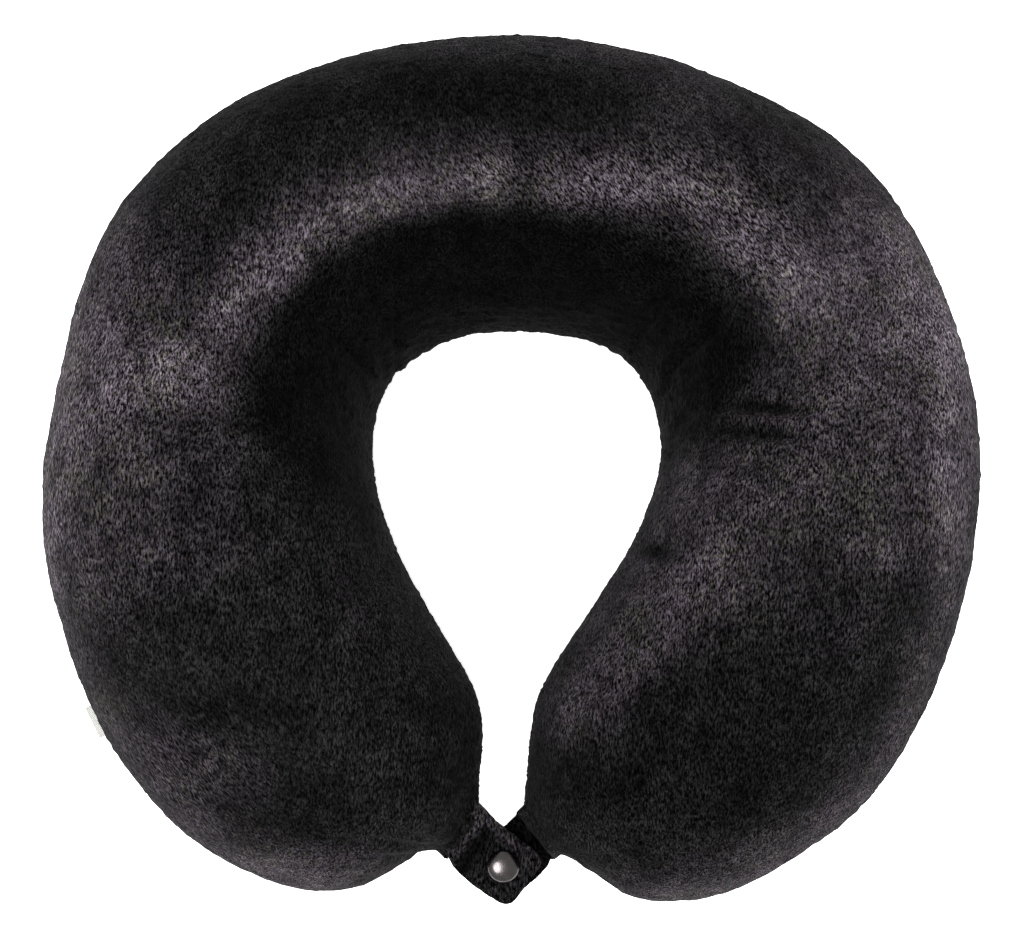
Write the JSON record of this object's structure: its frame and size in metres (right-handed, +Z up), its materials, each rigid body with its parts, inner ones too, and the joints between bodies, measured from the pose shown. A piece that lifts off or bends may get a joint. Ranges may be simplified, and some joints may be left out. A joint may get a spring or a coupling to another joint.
{
  "type": "u shaped neck pillow",
  "caption": "U-shaped memory-foam travel neck pillow with a plush velour cover, flexing arms, a zipped back seam and snap straps that close its mouth.",
  "frame": {"origin": "middle of the pillow's footprint, on the surface that it lies on", "axes": "+Z up from the flat base; +Y towards the back of the neck; +X across the arms, the wearer's right; the mouth opens towards -Y"},
  "size_m": [0.2988, 0.2786, 0.1078],
  "materials": {
    "black_velour": "matte",
    "knit_liner": "matte",
    "memory_foam": "matte",
    "zip_tape_cloth": "matte",
    "zip_coil_nylon": "satin",
    "dark_nickel": "gloss",
    "spring_steel": "satin",
    "white_label": "matte"
  },
  "bodies": {
    "back": {"foam_core_back": "memory_foam", "liner_back": "knit_liner", "cover_upper_back": "black_velour", "cover_lower_back": "black_velour", "zip_tape_upper": "zip_tape_cloth", "zip_tape_lower": "zip_tape_cloth", "zip_coil_upper": "zip_coil_nylon", "zip_coil_lower": "zip_coil_nylon", "zip_top_stop": "dark_nickel", "zip_bottom_stop": "dark_nickel"},
    "left_arm": {"foam_core_left_arm": "memory_foam", "liner_left_arm": "knit_liner", "cover_upper_left_arm": "black_velour", "cover_lower_left_arm": "black_velour", "care_label": "white_label"},
    "right_arm": {"foam_core_right_arm": "memory_foam", "liner_right_arm": "knit_liner", "cover_upper_right_arm": "black_velour", "cover_lower_right_arm": "black_velour"},
    "left_tab": {"tab_left": "black_velour", "snap_cap": "dark_nickel", "snap_socket": "dark_nickel", "snap_spring": "spring_steel"},
    "right_tab": {"tab_right": "black_velour", "snap_stud": "dark_nickel", "snap_post": "dark_nickel"},
    "slider": {"zip_slider": "dark_nickel"},
    "pull": {"zip_pull": "dark_nickel"}
  },
  "joints": [
    {"name": "left_arm_flex", "type": "hinge", "parent": "back", "child": "left_arm", "pos_m": [-0.13485, 0.06673, 0.045], "axis": [0, 0, -1], "range_deg": [0, 20], "stiffness_Nm_per_rad": 3},
    {"name": "right_arm_flex", "type": "hinge", "parent": "back", "child": "right_arm", "pos_m": [0.13485, 0.06673, 0.045], "axis": [0, 0, 1], "range_deg": [0, 20], "stiffness_Nm_per_rad": 3},
    {"name": "left_tab_fold", "type": "hinge", "parent": "left_arm", "child": "left_tab", "pos_m": [-0.01221, -0.11627, 0.0523], "axis": [-0.5787, -0.8155, 0], "range_deg": [-6, 90], "stiffness_Nm_per_rad": 0.01},
    {"name": "right_tab_fold", "type": "hinge", "parent": "right_arm", "child": "right_tab", "pos_m": [0.01235, -0.11645, 0.0434], "axis": [-0.6606, 0.7507, 0], "range_deg": [-90, 0], "stiffness_Nm_per_rad": 0.01},
    {"name": "zip_travel", "type": "hinge", "parent": "back", "child": "slider", "pos_m": [0, -0.0508, 0.02], "axis": [0, 0, 1], "range_deg": [0, 48]},
    {"name": "zip_pull_swing", "type": "hinge", "parent": "slider", "child": "pull", "pos_m": [0.07679, 0.12168, 0.01818], "axis": [0.9135, -0.4067, 0], "range_deg": [0, 140]}
  ]
}
